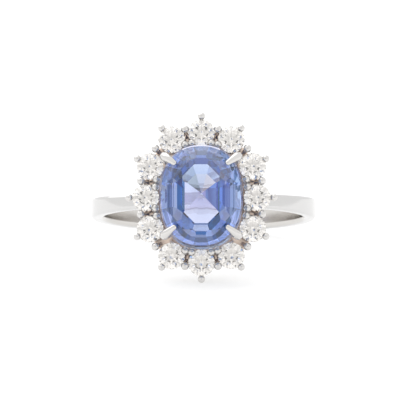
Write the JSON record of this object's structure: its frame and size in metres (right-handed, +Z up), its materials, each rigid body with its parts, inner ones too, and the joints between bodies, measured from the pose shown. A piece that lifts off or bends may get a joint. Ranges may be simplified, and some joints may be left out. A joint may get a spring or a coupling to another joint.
{
  "type": "cluster ring",
  "caption": "Cluster ring: an oval blue stone in claws inside an oval row of small round brilliants with bead-tipped prongs, on a plain tapering band.",
  "frame": {"origin": "centre of the finger's bore, midway between the band's edges", "axes": "the ring lies on its side: +X across the head, -Y towards the head, +Z up; the bore's axis leans 15.4 degrees from +Z towards +Y"},
  "size_m": [0.0192, 0.0245, 0.0136],
  "materials": {
    "white_metal": "polished",
    "blue_stone": "polished",
    "clear_stone": "polished"
  },
  "bodies": {
    "root": {"ring_mount": "white_metal", "sapphire": "blue_stone", "diamond_1": "clear_stone", "diamond_2": "clear_stone", "diamond_3": "clear_stone", "diamond_4": "clear_stone", "diamond_5": "clear_stone", "diamond_6": "clear_stone", "diamond_7": "clear_stone", "diamond_8": "clear_stone", "diamond_9": "clear_stone", "diamond_10": "clear_stone", "diamond_11": "clear_stone", "diamond_12": "clear_stone"}
  },
  "joints": []
}
